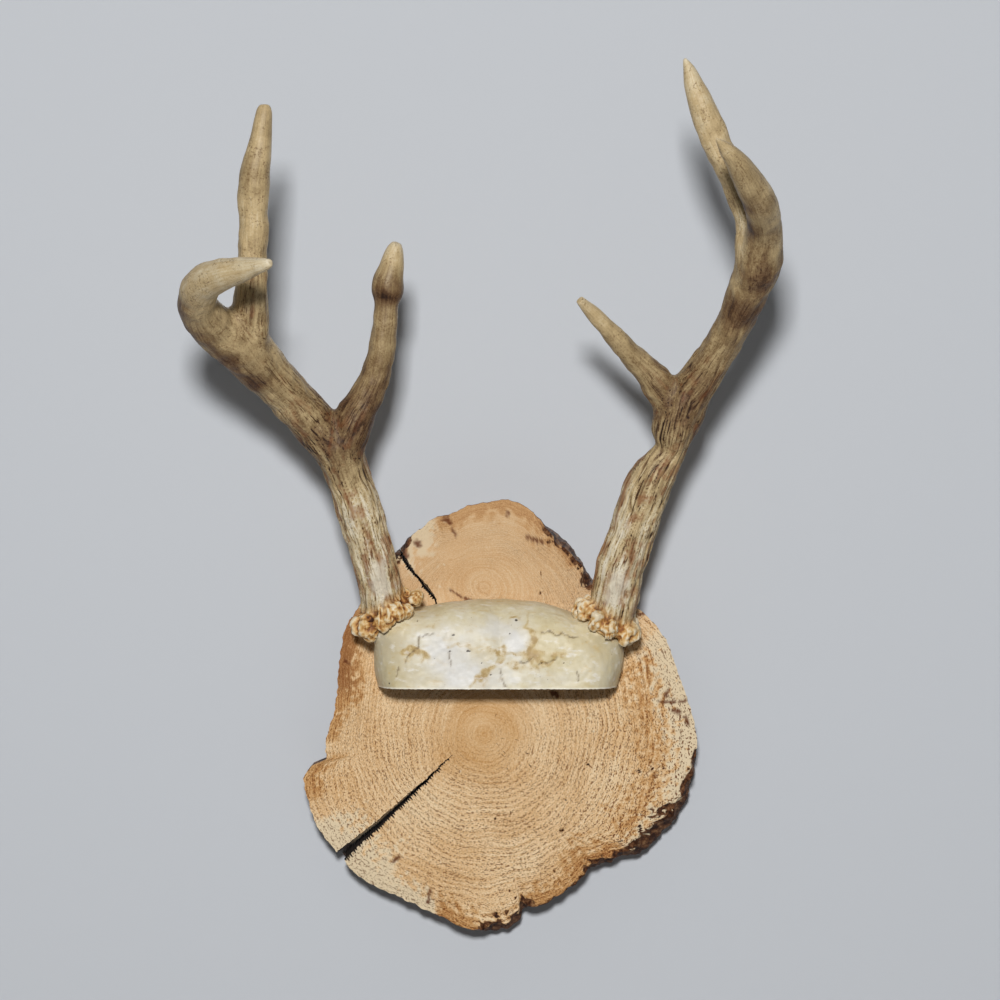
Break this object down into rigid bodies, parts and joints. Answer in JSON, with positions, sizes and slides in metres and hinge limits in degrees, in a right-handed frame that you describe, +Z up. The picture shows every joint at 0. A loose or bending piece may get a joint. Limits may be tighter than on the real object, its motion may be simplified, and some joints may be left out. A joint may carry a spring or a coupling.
{
  "type": "deer antlers mounted on a log slice",
  "caption": "Pair of forked deer antlers on their sawn skull plate, fixed to a rough slice of log that hangs flat against a wall.",
  "frame": {"origin": "on the log slice's flat back face, straight behind the middle of the skull plate's sawn lower edge", "axes": "+Z up along the wall, +Y into the wall, +X to the viewer's right; the antlers stand out towards -Y"},
  "size_m": [0.2443, 0.1725, 0.3642],
  "materials": {
    "pine_end_grain": "rough-sawn end grain with bark edge",
    "bleached_bone": "matte bleached bone",
    "antler_beam": "grooved and brown-stained antler",
    "antler_tine": "rubbed, satin antler",
    "zinc_steel": "zinc-plated"
  },
  "bodies": {
    "root": {"log_slice": "pine_end_grain", "skull_plate": "bleached_bone", "left_lower_beam": "antler_beam", "left_middle_beam": "antler_beam", "left_beam_tip": "antler_tine", "left_inner_tine": "antler_tine", "left_back_tine": "antler_tine", "right_lower_beam": "antler_beam", "right_middle_beam": "antler_beam", "right_beam_tip": "antler_tine", "right_inner_tine": "antler_tine", "right_back_tine": "antler_tine", "left_screw": "zinc_steel", "right_screw": "zinc_steel"}
  },
  "joints": []
}
